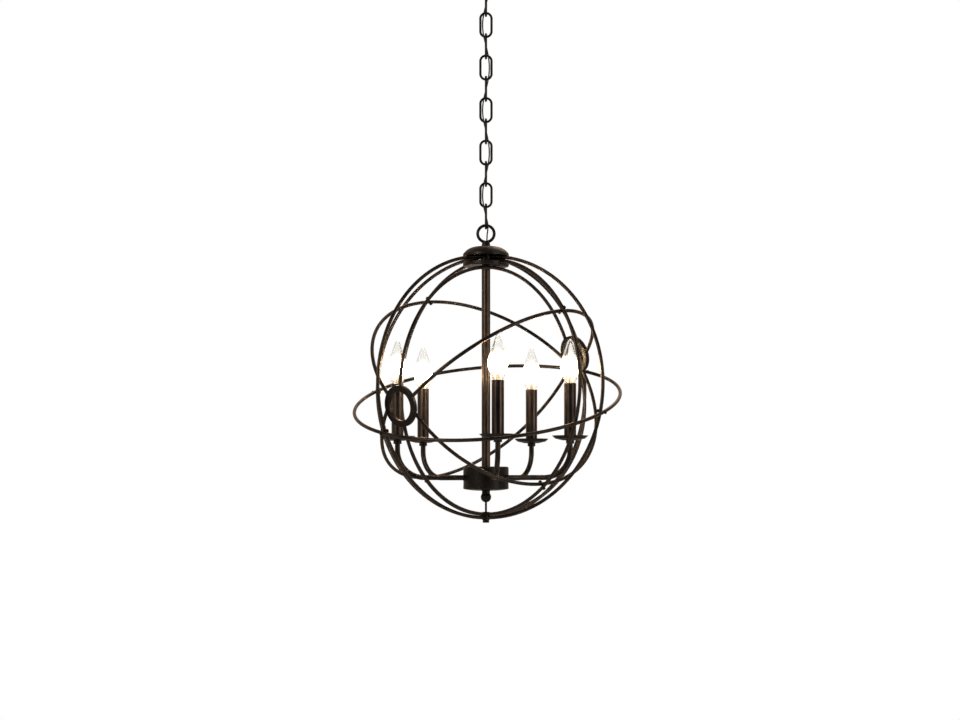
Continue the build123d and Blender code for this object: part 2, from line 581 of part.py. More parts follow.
def hoop_rod(plane_values, upper):
    """One bent rod of a tilted hoop, between the rims of the two side rings."""
    frame = hoop_frame(plane_values, HOOP_RADIUS)
    rods = []
    for side in (1, -1):
        start = hoop_angle(frame, FRONT_RING_DIRECTION, side)
        end = hoop_angle(frame, BACK_RING_DIRECTION, -side)
        turn = (end - start) * side % (2 * math.pi) * side
        angles = (start, start + turn / 2, start + turn)
        rods.append([hoop_point(frame, angle) for angle in angles])
    rods.sort(key=lambda points: points[1].Z)
    return bent_rod(*rods[1 if upper else 0])


def crossing_elevation(plane_values, azimuth, upper):
    """Elevation where a plane's circle on its sphere crosses a meridian."""
    plane_azimuth, plane_elevation, drop = plane_values
    normal = direction(plane_azimuth, plane_elevation)
    level = normal.dot(direction(azimuth, 0))
    lean = math.atan2(normal.Z, level)
    spread = math.acos(math.sin(math.radians(drop)) / math.hypot(normal.Z, level))
    angles = [math.degrees(lean + spread), math.degrees(lean - spread)]
    angles = [(angle + 180) % 360 - 180 for angle in angles]
    inside = [angle for angle in angles if abs(angle) < 90]
    return max(inside) if upper else min(inside)


def cope_to_bosses():
    """Cut the rods of the block in work back to the two bosses."""
    with Locations((0, 0, ORB_Z + MERIDIAN_RADIUS)):
        Cylinder(UPPER_BOSS_RADIUS + SEAT_GAP, 40.0, mode=Mode.SUBTRACT)
    with Locations((0, 0, ORB_Z - MERIDIAN_RADIUS)):
        Cylinder(LOWER_BOSS_RADIUS + SEAT_GAP, 40.0, mode=Mode.SUBTRACT)


def cope_to_side_rings():
    """Cut the rods of the block in work back to the rims of the two side rings."""
    for outward in (FRONT_RING_DIRECTION, BACK_RING_DIRECTION):
        with Locations(Plane(origin=ORB + outward * SIDE_RING_LEVEL, z_dir=outward)):
            Cylinder(SIDE_RING_RADIUS + SEAT_GAP, 40.0, mode=Mode.SUBTRACT)


FRONT_RING_DIRECTION = direction(FRONT_RING_AZIMUTH, FRONT_RING_ELEVATION)
BACK_RING_DIRECTION = direction(BACK_RING_AZIMUTH, BACK_RING_ELEVATION)
SIDE_RING_LEVEL = math.sqrt(HOOP_RADIUS**2 - SIDE_RING_RADIUS**2)
BAND_PLANE = (BAND_PLANE_AZIMUTH, BAND_PLANE_ELEVATION, BAND_PLANE_DROP)

# Where rods cross, and the radius halfway between them there.
band_crossings = []
for azimuth in (MERIDIAN_LEFT_AZIMUTH, MERIDIAN_RIGHT_AZIMUTH):
    for half in (azimuth, azimuth + 180):
        elevation = crossing_elevation(BAND_PLANE, half, True)
        band_crossings.append(direction(half, elevation))
inner_near = MERIDIAN_INNER_AZIMUTH
inner_far = MERIDIAN_INNER_AZIMUTH + 180
hoop_one_crossings = [
    direction(inner_far, crossing_elevation(HOOP_ONE_UPPER, inner_far, True)),
    direction(inner_near, crossing_elevation(HOOP_ONE_LOWER, inner_near, False)),
]
hoop_two_crossings = [
    direction(inner_near, crossing_elevation(HOOP_TWO_UPPER, inner_near, True)),
    direction(inner_far, crossing_elevation(HOOP_TWO_LOWER, inner_far, False)),
]
outer_joint_radius = (BAND_RADIUS + MERIDIAN_RADIUS) / 2
inner_joint_radius = (INNER_MERIDIAN_RADIUS + HOOP_RADIUS) / 2
SCREW_HOLE_RADIUS = SCREW_RADIUS + THREAD_CLEARANCE
SCREW_GRIP = LEVEL_STEP + 2 * ROD_RADIUS + 2 * SEAT_GAP

for name, azimuth, crossings in (
    ("meridian_ring_left", MERIDIAN_LEFT_AZIMUTH, band_crossings[:2]),
    ("meridian_ring_right", MERIDIAN_RIGHT_AZIMUTH, band_crossings[2:]),
):
    with BuildPart() as meridian_ring:
        add(meridian_half(MERIDIAN_RADIUS, azimuth))
        add(meridian_half(MERIDIAN_RADIUS, azimuth + 180))
        cope_to_bosses()
        for outward in crossings:
            with Locations(Plane(origin=ORB + outward * outer_joint_radius, z_dir=outward)):
                Cylinder(SCREW_HOLE_RADIUS, 2 * SCREW_GRIP, mode=Mode.SUBTRACT)
    meridian_ring.part.label = name
    export_step(meridian_ring.part, f"parts/{name}.step")

with BuildPart() as meridian_ring_inner:
    add(meridian_half(INNER_MERIDIAN_RADIUS, MERIDIAN_INNER_AZIMUTH))
    add(meridian_half(INNER_MERIDIAN_RADIUS, MERIDIAN_INNER_AZIMUTH + 180))
    cope_to_bosses()
    for outward in hoop_one_crossings + hoop_two_crossings:
        with Locations(Plane(origin=ORB + outward * inner_joint_radius, z_dir=outward)):
            Cylinder(SCREW_HOLE_RADIUS, 2 * SCREW_GRIP, mode=Mode.SUBTRACT)
meridian_ring_inner.part.label = "meridian_ring_inner"
export_step(meridian_ring_inner.part, "parts/meridian_ring_inner.step")

for name, upper_values, lower_values, crossings in (
    ("tilted_hoop_one", HOOP_ONE_UPPER, HOOP_ONE_LOWER, hoop_one_crossings),
    ("tilted_hoop_two", HOOP_TWO_UPPER, HOOP_TWO_LOWER, hoop_two_crossings),
):
    with BuildPart() as tilted_hoop:
        add(hoop_rod(upper_values, True))
        add(hoop_rod(lower_values, False))
        cope_to_side_rings()
        for outward in crossings:
            with Locations(Plane(origin=ORB + outward * inner_joint_radius, z_dir=outward)):
                Cylinder(SCREW_HOLE_RADIUS, 2 * SCREW_GRIP, mode=Mode.SUBTRACT)
    tilted_hoop.part.label = name
    export_step(tilted_hoop.part, f"parts/{name}.step")

# --- band: the one whole ring, tilted, outside all the others ----------------------------------------
band_frame = hoop_frame(BAND_PLANE, BAND_RADIUS)
with BuildPart() as outer_band:
    for start in (0, 180):
        angles = [math.radians(start + turn) for turn in (0, 90, 180)]
        add(bent_rod(*[hoop_point(band_frame, angle) for angle in angles]))
    for outward in band_crossings:
        with Locations(Plane(origin=ORB + outward * outer_joint_radius, z_dir=outward)):
            Cylinder(SCREW_HOLE_RADIUS, 2 * SCREW_GRIP, mode=Mode.SUBTRACT)
outer_band.part.label = "outer_band"
export_step(outer_band.part, "parts/outer_band.step")

# --- side rings: two thick washers that the hoops are welded to ---------------------------------------
for name, outward in (
    ("side_ring_front", FRONT_RING_DIRECTION),
    ("side_ring_back", BACK_RING_DIRECTION),
):
    with BuildPart() as side_ring:
        with BuildSketch(Plane(origin=ORB + outward * (SIDE_RING_LEVEL - SIDE_RING_THICKNESS / 2), z_dir=outward)):
            Circle(SIDE_RING_RADIUS)
            Circle(SIDE_RING_HOLE_RADIUS, mode=Mode.SUBTRACT)
        extrude(amount=SIDE_RING_THICKNESS)
        fillet(side_ring.edges().filter_by(GeomType.CIRCLE), radius=1.5)
    side_ring.part.label = name
    export_step(side_ring.part, f"parts/{name}.step")


# --- side hoop: three bent rods, over the top under the disc, and down to the lower boss --------------
def rim_point(outward, clock):
    """Point just inside the rim of a side ring; clock runs from up, clockwise seen from outside."""
    right = Vector(0, 0, 1).cross(outward).normalized()
    up = outward.cross(right)
    turn = math.radians(clock)
    reach = SIDE_RING_RADIUS - COPE_DEPTH
    across = right * (math.sin(turn) * reach)
    return ORB + outward * SIDE_RING_LEVEL + across + up * (math.cos(turn) * reach)


under_disc_z = DISC_BOTTOM_Z - ROD_RADIUS - ROD_GAP
crown_reach = STEM_RADIUS + ROD_RADIUS + SIDE_HOOP_STEM_GAP
side_hoop_crown = Vector(0, 0, under_disc_z) + direction(SIDE_HOOP_CROWN_AZIMUTH, 0) * crown_reach
foot_level = ORB_Z - INNER_MERIDIAN_RADIUS
foot_reach = LOWER_BOSS_RADIUS - COPE_DEPTH
legs = (
    (FRONT_RING_DIRECTION, FRONT_RING_FOOT_CLOCK, FRONT_LEG_MIDDLE, FRONT_LEG_FOOT_AZIMUTH),
    (BACK_RING_DIRECTION, BACK_RING_FOOT_CLOCK, BACK_LEG_MIDDLE, BACK_LEG_FOOT_AZIMUTH),
)
with BuildPart() as side_hoop:
    front_rim = rim_point(FRONT_RING_DIRECTION, FRONT_RING_TOP_CLOCK)
    back_rim = rim_point(BACK_RING_DIRECTION, BACK_RING_TOP_CLOCK)
    add(bent_rod(front_rim, side_hoop_crown, back_rim))
    for outward, clock, middle, foot_azimuth in legs:
        leg_middle = orb_point(INNER_MERIDIAN_RADIUS - SIDE_HOOP_SINK, *middle)
        foot = Vector(0, 0, foot_level) + direction(foot_azimuth, 0) * foot_reach
        add(bent_rod(rim_point(outward, clock), leg_middle, foot))
    cope_to_bosses()
    cope_to_side_rings()
side_hoop.part.label = "side_hoop"
export_step(side_hoop.part, "parts/side_hoop.step")

# --- crossing screws and nuts: pan-head screws from outside, nuts inside ------------------------------
joints = [(outward, outer_joint_radius) for outward in band_crossings]
joints += [(outward, inner_joint_radius) for outward in hoop_one_crossings + hoop_two_crossings]
shank_length = SCREW_GRIP + SCREW_NUT_HEIGHT + SCREW_TAIL
with BuildPart() as crossing_screws:
    for outward, radius in joints:
        foot = ORB + outward * (radius + SCREW_GRIP / 2)
        with BuildPart(mode=Mode.PRIVATE) as head:
            with Locations(Plane(origin=foot + outward * (SCREW_HEAD_HEIGHT / 2), z_dir=outward)):
                Cylinder(SCREW_HEAD_RADIUS, SCREW_HEAD_HEIGHT)
            fillet(head.edges().sort_by(Axis(ORB, outward))[-1], radius=SCREW_HEAD_ROUND)
            with Locations(Plane(origin=foot + outward * SCREW_HEAD_HEIGHT, z_dir=outward)):
                Box(2 * SCREW_HEAD_RADIUS, SCREW_SLOT_WIDTH, 2 * SCREW_SLOT_DEPTH, mode=Mode.SUBTRACT)
        add(head.part)
        with Locations(Plane(origin=foot - outward * (shank_length / 2), z_dir=outward)):
            Cylinder(SCREW_RADIUS, shank_length)
crossing_screws.part.label = "crossing_screws"
export_step(crossing_screws.part, "parts/crossing_screws.step")

with BuildPart() as crossing_nuts:
    for outward, radius in joints:
        with BuildSketch(Plane(origin=ORB + outward * (radius - SCREW_GRIP / 2), z_dir=outward)):
            RegularPolygon(SCREW_NUT_RADIUS, 6)
            Circle(SCREW_HOLE_RADIUS, mode=Mode.SUBTRACT)
        extrude(amount=-SCREW_NUT_HEIGHT)
crossing_nuts.part.label = "crossing_nuts"
export_step(crossing_nuts.part, "parts/crossing_nuts.step")

# --- arms, drip pans, candle sleeves, sockets and bulbs: five alike -----------------------------------
arm_top_z = PAN_FLOOR_Z + SOCKET_FOOT_HEIGHT - 1.0
arm_start = HUB_RADIUS - ARM_INSIDE_HUB
bend_start = CANDLE_CIRCLE_RADIUS - ARM_BEND_RADIUS
bend_side = ARM_BEND_RADIUS * math.sqrt(0.5)
socket_top_z = SLEEVE_TOP_Z - SOCKET_BELOW_SLEEVE_TOP
socket_floor_z = socket_top_z - SOCKET_HEIGHT
bulb_base_z = socket_top_z - BULB_BASE_LENGTH
pan_under_z = PAN_FLOOR_Z - PAN_SHEET
arm_hole = ARM_RADIUS + ARM_CLEARANCE

with BuildPart() as lamp_sockets:
    for azimuth in ARM_AZIMUTHS:
        stand = direction(azimuth, 0) * CANDLE_CIRCLE_RADIUS
        with BuildSketch(Plane(origin=(stand.X, stand.Y, socket_floor_z))):
            Circle(SOCKET_RADIUS)
        extrude(amount=SOCKET_HEIGHT)
        with BuildSketch(Plane(origin=(stand.X, stand.Y, PAN_FLOOR_Z + SEAT_GAP))):
            Circle(SOCKET_FOOT_RADIUS)
        extrude(amount=SOCKET_FOOT_HEIGHT)
        with BuildSketch(Plane(origin=(stand.X, stand.Y, PAN_FLOOR_Z + SEAT_GAP))):
            with Locations((SOCKET_FOOT_RADIUS - SOCKET_LEG_THICKNESS / 2, 0)):
                Rectangle(SOCKET_LEG_THICKNESS, SOCKET_LEG_WIDTH)
        extrude(amount=socket_floor_z - PAN_FLOOR_Z + 2.0)
        with BuildSketch(Plane(origin=(stand.X, stand.Y, PAN_FLOOR_Z))):
            Circle(arm_hole)
        extrude(amount=SOCKET_FOOT_HEIGHT + 1.0, mode=Mode.SUBTRACT)
        with BuildSketch(Plane(origin=(stand.X, stand.Y, socket_floor_z + 2.0))):
            Circle(SOCKET_BORE_RADIUS)
        extrude(amount=SOCKET_HEIGHT, mode=Mode.SUBTRACT)
lamp_sockets.part.label = "lamp_sockets"
export_step(lamp_sockets.part, "parts/lamp_sockets.step")

for number, azimuth in enumerate(ARM_AZIMUTHS, start=1):
    outward = direction(azimuth, 0)
    stand = outward * CANDLE_CIRCLE_RADIUS
    arm_plane = Plane(origin=(0, 0, 0), x_dir=outward, z_dir=outward.cross(Vector(0, 0, 1)))
    bend_centre_z = ARM_Z + ARM_BEND_RADIUS

    with BuildPart() as arm:
        with BuildLine(arm_plane) as arm_line:
            Line((arm_start, ARM_Z), (bend_start, ARM_Z))
            ThreePointArc(
                (bend_start, ARM_Z),
                (bend_start + bend_side, bend_centre_z - bend_side),
                (CANDLE_CIRCLE_RADIUS, bend_centre_z),
            )
            Line((CANDLE_CIRCLE_RADIUS, bend_centre_z), (CANDLE_CIRCLE_RADIUS, arm_top_z))
        with BuildSketch(Plane(origin=arm_line.line @ 0, z_dir=arm_line.line % 0)):
            Circle(ARM_RADIUS)
            Circle(ARM_BORE_RADIUS, mode=Mode.SUBTRACT)
        sweep(path=arm_line.line)
    arm.part.label = f"arm_{number}"
    export_step(arm.part, f"parts/arm_{number}.step")

    save(
        turned(
            [
                (arm_hole, pan_under_z - PAN_COLLAR_HEIGHT),
                (PAN_COLLAR_RADIUS, pan_under_z - PAN_COLLAR_HEIGHT),
                (PAN_COLLAR_RADIUS, pan_under_z),
                (PAN_FLOOR_RADIUS, pan_under_z),
                (PAN_RADIUS - 6.0, pan_under_z + 0.35 * PAN_DEPTH),
                (PAN_RADIUS - 1.5, PAN_RIM_Z - 1.5),
                (PAN_RADIUS, PAN_RIM_Z),
                (PAN_RADIUS - PAN_SHEET, PAN_RIM_Z),
                (PAN_RADIUS - 1.5 - PAN_SHEET, PAN_RIM_Z - 1.0),
                (PAN_RADIUS - 6.0 - 0.4, pan_under_z + 0.35 * PAN_DEPTH + PAN_SHEET),
                (PAN_FLOOR_RADIUS - 0.2, PAN_FLOOR_Z),
                (arm_hole, PAN_FLOOR_Z),
            ],
            stand.X,
            stand.Y,
        ),
        f"drip_pan_{number}",
    )
    save(
        turned(
            [
                (SLEEVE_BORE_RADIUS, SLEEVE_BOTTOM_Z),
                (SLEEVE_RADIUS, SLEEVE_BOTTOM_Z),
                (SLEEVE_RADIUS, SLEEVE_TOP_Z - 0.6),
                (SLEEVE_RADIUS - 0.6, SLEEVE_TOP_Z),
                (SLEEVE_BORE_RADIUS, SLEEVE_TOP_Z),
            ],
            stand.X,
            stand.Y,
        ),
        f"candle_sleeve_{number}",
    )

    with BuildPart() as bulb:
        with BuildSketch(Plane(origin=(stand.X, stand.Y, SLEEVE_TOP_Z), x_dir=(1, 0, 0), z_dir=(0, -1, 0))):
            with BuildLine():
                Polyline(
                    (0, BULB_HEIGHT),
                    (0, bulb_base_z - SLEEVE_TOP_Z),
                    (BULB_BASE_RADIUS, bulb_base_z - SLEEVE_TOP_Z),
                    (BULB_BASE_RADIUS, -1.0),
                    (BULB_NECK_RADIUS, 1.0),
                )
                ThreePointArc(
                    (BULB_NECK_RADIUS, 1.0),
                    (0.86 * BULB_RADIUS, 0.49 * BULB_BELLY_HEIGHT),
                    (BULB_RADIUS, BULB_BELLY_HEIGHT),
                )
                ThreePointArc(
                    (BULB_RADIUS, BULB_BELLY_HEIGHT),
                    (0.66 * BULB_RADIUS, 0.68 * BULB_HEIGHT),
                    (BULB_TIP_RADIUS, BULB_HEIGHT - 1.0),
                )
                Line((BULB_TIP_RADIUS, BULB_HEIGHT - 1.0), (0, BULB_HEIGHT))
            make_face()
        revolve(axis=Axis((stand.X, stand.Y, 0), (0, 0, 1)))
    bulb.part.label = f"bulb_{number}"
    export_step(bulb.part, f"parts/bulb_{number}.step")

# --- supply cord: from the ceiling, wound once round the chain's axis every four links, to the hub -----
cord_top_z = -3.0
canopy_bore_z = CANOPY_LOOP_Z + LOOP_RING_RADIUS - 2.0
cord_points = [(0, 0, cord_top_z), (0, 0, canopy_bore_z)]
first_meeting_z = FIRST_CROWN_Z - LOOP_TO_LINK / 2
cord_reach = CORD_SWING / math.cos(math.pi / 8)
half_pitch = LINK_PITCH / 2
step_count = 2 * LINK_COUNT
for step in range(step_count + 1):
    turn = math.radians(45 + 45 * step)
    height = first_meeting_z - half_pitch * step
    cord_points.append((cord_reach * math.cos(turn), cord_reach * math.sin(turn), height))
fixture_bore_z = FIXTURE_LOOP_Z - LOOP_RING_RADIUS + 3.0
cord_points.append((0, 0, fixture_bore_z))
cord_points.append((0, 0, HUB_TOP_Z - 12.0))
corners = [Vector(*point) for point in cord_points]
radii = []
for before, corner, after in zip(corners, corners[1:], corners[2:]):
    turn = (corner - before).get_angle(after - corner)
    shorter = min((corner - before).length, (after - corner).length)
    radii.append(0.45 * shorter / math.tan(math.radians(turn / 2)))
with BuildPart() as supply_cord:
    with BuildLine() as cord_line:
        FilletPolyline(*cord_points, radius=radii)
    with BuildSketch(Plane(origin=cord_line.line @ 0, z_dir=cord_line.line % 0)):
        Circle(CORD_RADIUS)
    sweep(path=cord_line.line)
supply_cord.part.label = "supply_cord"
export_step(supply_cord.part, "parts/supply_cord.step")
print("cord length", round(cord_line.wires()[0].length, 1), "smallest radius", round(min(radii), 1))
print("orb centre", round(ORB_Z, 2), "foot", round(LOWER_BOSS_BOTTOM_Z - CAP_NUT_HEIGHT, 2))
print("hub top", round(HUB_TOP_Z, 2), "candles", round(CANDLE_CIRCLE_RADIUS, 2), "sleeves", round(SLEEVE_TOP_Z, 2))
print("pipe bottom", round(PIPE_BOTTOM_Z, 2), "canopy bore", round(canopy_bore_z, 2), "fixture bore", round(fixture_bore_z, 2))
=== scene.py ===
import math

import bpy
from mathutils import Matrix, Vector


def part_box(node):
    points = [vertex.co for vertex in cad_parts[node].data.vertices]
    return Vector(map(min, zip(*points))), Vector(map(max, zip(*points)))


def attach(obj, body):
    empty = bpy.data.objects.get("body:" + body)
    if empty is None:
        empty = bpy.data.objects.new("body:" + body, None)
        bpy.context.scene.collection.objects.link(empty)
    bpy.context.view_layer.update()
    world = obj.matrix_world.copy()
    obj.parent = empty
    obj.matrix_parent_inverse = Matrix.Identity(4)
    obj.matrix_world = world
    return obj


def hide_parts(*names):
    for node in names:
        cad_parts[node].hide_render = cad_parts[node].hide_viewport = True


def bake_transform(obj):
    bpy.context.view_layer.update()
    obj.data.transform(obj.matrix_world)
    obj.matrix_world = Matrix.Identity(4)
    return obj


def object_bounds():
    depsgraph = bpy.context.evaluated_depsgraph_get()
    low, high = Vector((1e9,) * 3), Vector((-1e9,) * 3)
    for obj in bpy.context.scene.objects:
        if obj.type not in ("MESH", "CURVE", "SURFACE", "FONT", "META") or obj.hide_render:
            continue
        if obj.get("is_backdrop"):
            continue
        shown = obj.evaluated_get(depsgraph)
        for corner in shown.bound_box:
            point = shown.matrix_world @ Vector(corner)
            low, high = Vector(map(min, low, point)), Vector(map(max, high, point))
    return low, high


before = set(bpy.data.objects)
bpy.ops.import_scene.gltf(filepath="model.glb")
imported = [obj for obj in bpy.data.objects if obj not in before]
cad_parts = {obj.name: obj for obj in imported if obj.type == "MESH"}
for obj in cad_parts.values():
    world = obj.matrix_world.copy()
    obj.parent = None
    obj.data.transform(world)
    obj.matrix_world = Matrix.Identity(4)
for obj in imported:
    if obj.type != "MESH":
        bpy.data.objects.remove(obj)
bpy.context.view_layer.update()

# ---------------------------------------------------------------- the room and the camera
# The lamp hangs from a ceiling at height zero. The camera stands level, 3.3 m in front of the
# lamp and a little below the middle of the globe, and its frame is shifted up to take it in.
ORB_HEIGHT = -0.7928
camera = bpy.data.objects.new("camera", bpy.data.cameras.new("camera"))
bpy.context.scene.collection.objects.link(camera)
camera.location = (-0.011, -3.267, ORB_HEIGHT - 0.186)
camera.rotation_euler = (math.radians(90), 0, 0)
camera.data.sensor_width = 36
camera.data.lens = 66.3
camera.data.shift_y = 0.1333
camera.data.clip_end = 60
bpy.context.scene.camera = camera
bpy.context.scene.view_settings.view_transform = "Standard"

# Seen and looked through, the room is plain white. What the metal mirrors is the white backdrop
# behind the lamp and a dimmer room in front of it, where the camera stands.
world = bpy.data.worlds.new("studio")
bpy.context.scene.world = world
world.use_nodes = True
sky = world.node_tree.nodes
wires = world.node_tree.links
sky.clear()
ray = sky.new("ShaderNodeLightPath")
seen = sky.new("ShaderNodeMath")
seen.operation = "MAXIMUM"
wires.new(ray.outputs["Is Camera Ray"], seen.inputs[0])
wires.new(ray.outputs["Is Transmission Ray"], seen.inputs[1])
way = sky.new("ShaderNodeTexCoord")
way_axes = sky.new("ShaderNodeSeparateXYZ")
wires.new(way.outputs["Generated"], way_axes.inputs[0])
backdrop = sky.new("ShaderNodeMapRange")
backdrop.inputs["From Min"].default_value = -0.9
backdrop.inputs["From Max"].default_value = 0.9
backdrop.inputs["To Min"].default_value = 0.12
backdrop.inputs["To Max"].default_value = 0.8
wires.new(way_axes.outputs["Y"], backdrop.inputs["Value"])
room_light = sky.new("ShaderNodeBackground")
room_light.inputs["Color"].default_value = (1.0, 0.985, 0.97, 1)
wires.new(backdrop.outputs["Result"], room_light.inputs["Strength"])
room_white = sky.new("ShaderNodeBackground")
room_white.inputs["Color"].default_value = (1, 1, 1, 1)
room_white.inputs["Strength"].default_value = 1.0
room_mix = sky.new("ShaderNodeMixShader")
room_out = sky.new("ShaderNodeOutputWorld")
wires.new(seen.outputs[0], room_mix.inputs["Fac"])
wires.new(room_light.outputs[0], room_mix.inputs[1])
wires.new(room_white.outputs[0], room_mix.inputs[2])
wires.new(room_mix.outputs[0], room_out.inputs["Surface"])

# Two soft boxes in front, and one behind the lamp that lines the rods' edges.
for name, place, size, power in (
    ("soft_box_left", (-2.2, -2.4, 0.2), 1.6, 34),
    ("soft_box_right", (2.4, -1.8, -0.6), 1.4, 18),
    ("soft_box_back", (0.8, 2.2, 1.9), 1.6, 26),
):
    lamp = bpy.data.objects.new(name, bpy.data.lights.new(name, "AREA"))
    lamp.data.shape = "SQUARE"
    lamp.data.size = size
    lamp.data.energy = power
    lamp.location = place
    aim = Vector((0, 0, ORB_HEIGHT)) - lamp.location
    lamp.rotation_euler = aim.to_track_quat("-Z", "Y").to_euler()
    bpy.context.scene.collection.objects.link(lamp)

bpy.ops.object.select_all(action="DESELECT")
bpy.ops.mesh.primitive_plane_add(size=14, location=(0, 0, -2.4))
floor = bpy.context.object
floor.name = "floor"
pale = bpy.data.materials.new("pale_floor")
pale.use_nodes = True
tree = pale.node_tree
tree.nodes.clear()
ray = tree.nodes.new("ShaderNodeLightPath")
painted = tree.nodes.new("ShaderNodeBsdfDiffuse")
painted.inputs["Color"].default_value = (0.85, 0.85, 0.85, 1)
white = tree.nodes.new("ShaderNodeEmission")
white.inputs["Strength"].default_value = 1.0
mix = tree.nodes.new("ShaderNodeMixShader")
out = tree.nodes.new("ShaderNodeOutputMaterial")
tree.links.new(ray.outputs["Is Camera Ray"], mix.inputs["Fac"])
tree.links.new(painted.outputs[0], mix.inputs[1])
tree.links.new(white.outputs[0], mix.inputs[2])
tree.links.new(mix.outputs[0], out.inputs["Surface"])
floor.data.materials.append(pale)
floor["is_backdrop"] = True


# ---------------------------------------------------------------- ceiling fitting
# A zinc-plated crossbar is screwed to the electrical box, and a threaded nipple through it holds
# the spun steel canopy and the cast loop, both in the dark oil-rubbed finish of the whole lamp.
def colour_stops(ramp, stops):
    """A colour ramp takes these positions and colours, from first to last."""
    first, *between, last = stops
    elements = ramp.color_ramp.elements
    for element, (position, colour) in ((elements[0], first), (elements[1], last)):
        element.position = position
        element.color = (*colour, 1)
    for position, colour in between:
        elements.new(position).color = (*colour, 1)


def metal(
    name, dark, light, roughness, metallic,
    grain=(1, 1, 1), patch=45, bite=0.00012, share=0.4, coat=0.08,
):
    """Painted or plated metal: two tones in soft patches, with tooling marks along a grain."""
    made = bpy.data.materials.new(name)
    made.use_nodes = True
    nodes = made.node_tree.nodes
    links = made.node_tree.links
    shader = nodes["Principled BSDF"]
    shader.inputs["Metallic"].default_value = metallic
    shader.inputs["Specular Tint"].default_value = (0.72, 0.58, 0.48, 1)
    shader.inputs["Coat Weight"].default_value = coat
    shader.inputs["Coat Roughness"].default_value = 0.2
    place = nodes.new("ShaderNodeTexCoord")
    stretch = nodes.new("ShaderNodeMapping")
    stretch.inputs["Scale"].default_value = grain
    links.new(place.outputs["Object"], stretch.inputs["Vector"])
    cloud = nodes.new("ShaderNodeTexNoise")
    cloud.inputs["Scale"].default_value = patch
    cloud.inputs["Detail"].default_value = 6
    cloud.inputs["Roughness"].default_value = 0.62
    links.new(place.outputs["Object"], cloud.inputs["Vector"])
    marks = nodes.new("ShaderNodeTexNoise")
    marks.inputs["Scale"].default_value = 420
    marks.inputs["Detail"].default_value = 4
    links.new(stretch.outputs["Vector"], marks.inputs["Vector"])
    tone = nodes.new("ShaderNodeMix")
    tone.data_type = "FLOAT"
    tone.inputs[0].default_value = share
    links.new(cloud.outputs["Fac"], tone.inputs[2])
    links.new(marks.outputs["Fac"], tone.inputs[3])
    ramp = nodes.new("ShaderNodeValToRGB")
    colour_stops(ramp, [(0.38, dark), (0.66, light)])
    links.new(tone.outputs[0], ramp.inputs["Fac"])
    links.new(ramp.outputs["Color"], shader.inputs["Base Color"])
    gloss = nodes.new("ShaderNodeMapRange")
    gloss.inputs["To Min"].default_value = roughness - 0.09
    gloss.inputs["To Max"].default_value = roughness + 0.13
    links.new(marks.outputs["Fac"], gloss.inputs["Value"])
    links.new(gloss.outputs["Result"], shader.inputs["Roughness"])
    relief = nodes.new("ShaderNodeBump")
    relief.inputs["Strength"].default_value = 0.55
    relief.inputs["Distance"].default_value = bite
    links.new(marks.outputs["Fac"], relief.inputs["Height"])
    links.new(relief.outputs["Normal"], shader.inputs["Normal"])
    return made


def finish_node(name, material):
    """A node of the frame takes this material all over."""
    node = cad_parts[name]
    if not node.material_slots:
        node.data.materials.append(material)
    for slot in node.material_slots:
        slot.material = material


spun_bronze = metal("spun_bronze", (0.01, 0.008, 0.0068), (0.03, 0.024, 0.02), 0.4, 0.85, (0.25, 0.25, 6))
cast_bronze = metal(
    "cast_bronze", (0.0095, 0.0072, 0.0059), (0.031, 0.023, 0.0175), 0.4, 0.85, patch=90, bite=0.0002
)
zinc_plate = metal("zinc_plate", (0.42, 0.41, 0.38), (0.62, 0.6, 0.55), 0.34, 0.9, (2, 0.3, 0.3), 60, coat=0)
finish_node("crossbar", zinc_plate)
finish_node("canopy_nipple", zinc_plate)
finish_node("ceiling_canopy", spun_bronze)
finish_node("canopy_loop", cast_bronze)

# ---------------------------------------------------------------- chain
# Eleven oval links are bent from round wire. Each is closed by hand at a fine seam halfway down
# one side, and hangs a quarter turn round from the link above it.
LINK_COUNT = 11
LINK_PITCH = 0.0393
LINK_WIRE = 0.0022
LINK_HALF_WIDTH = 0.0103
LINK_HALF_HEIGHT = 0.022
FIRST_CROWN = -0.06205
SEAM = 0.00018
CIRCLE_HANDLE = 0.5523
chain_bronze = metal("chain_bronze", (0.0075, 0.0059, 0.005), (0.026, 0.0195, 0.0152), 0.33, 0.85, patch=120)


def mesh_from_curve(name, shape, material):
    """The bevelled curve as a mesh, in one material."""
    made = bpy.data.objects.new(name, shape)
    bpy.context.scene.collection.objects.link(made)
    bpy.ops.object.select_all(action="DESELECT")
    made.select_set(True)
    bpy.context.view_layer.objects.active = made
    bpy.ops.object.convert(target="MESH")
    made = bpy.context.object
    made.data.materials.clear()
    made.data.materials.append(material)
    return made


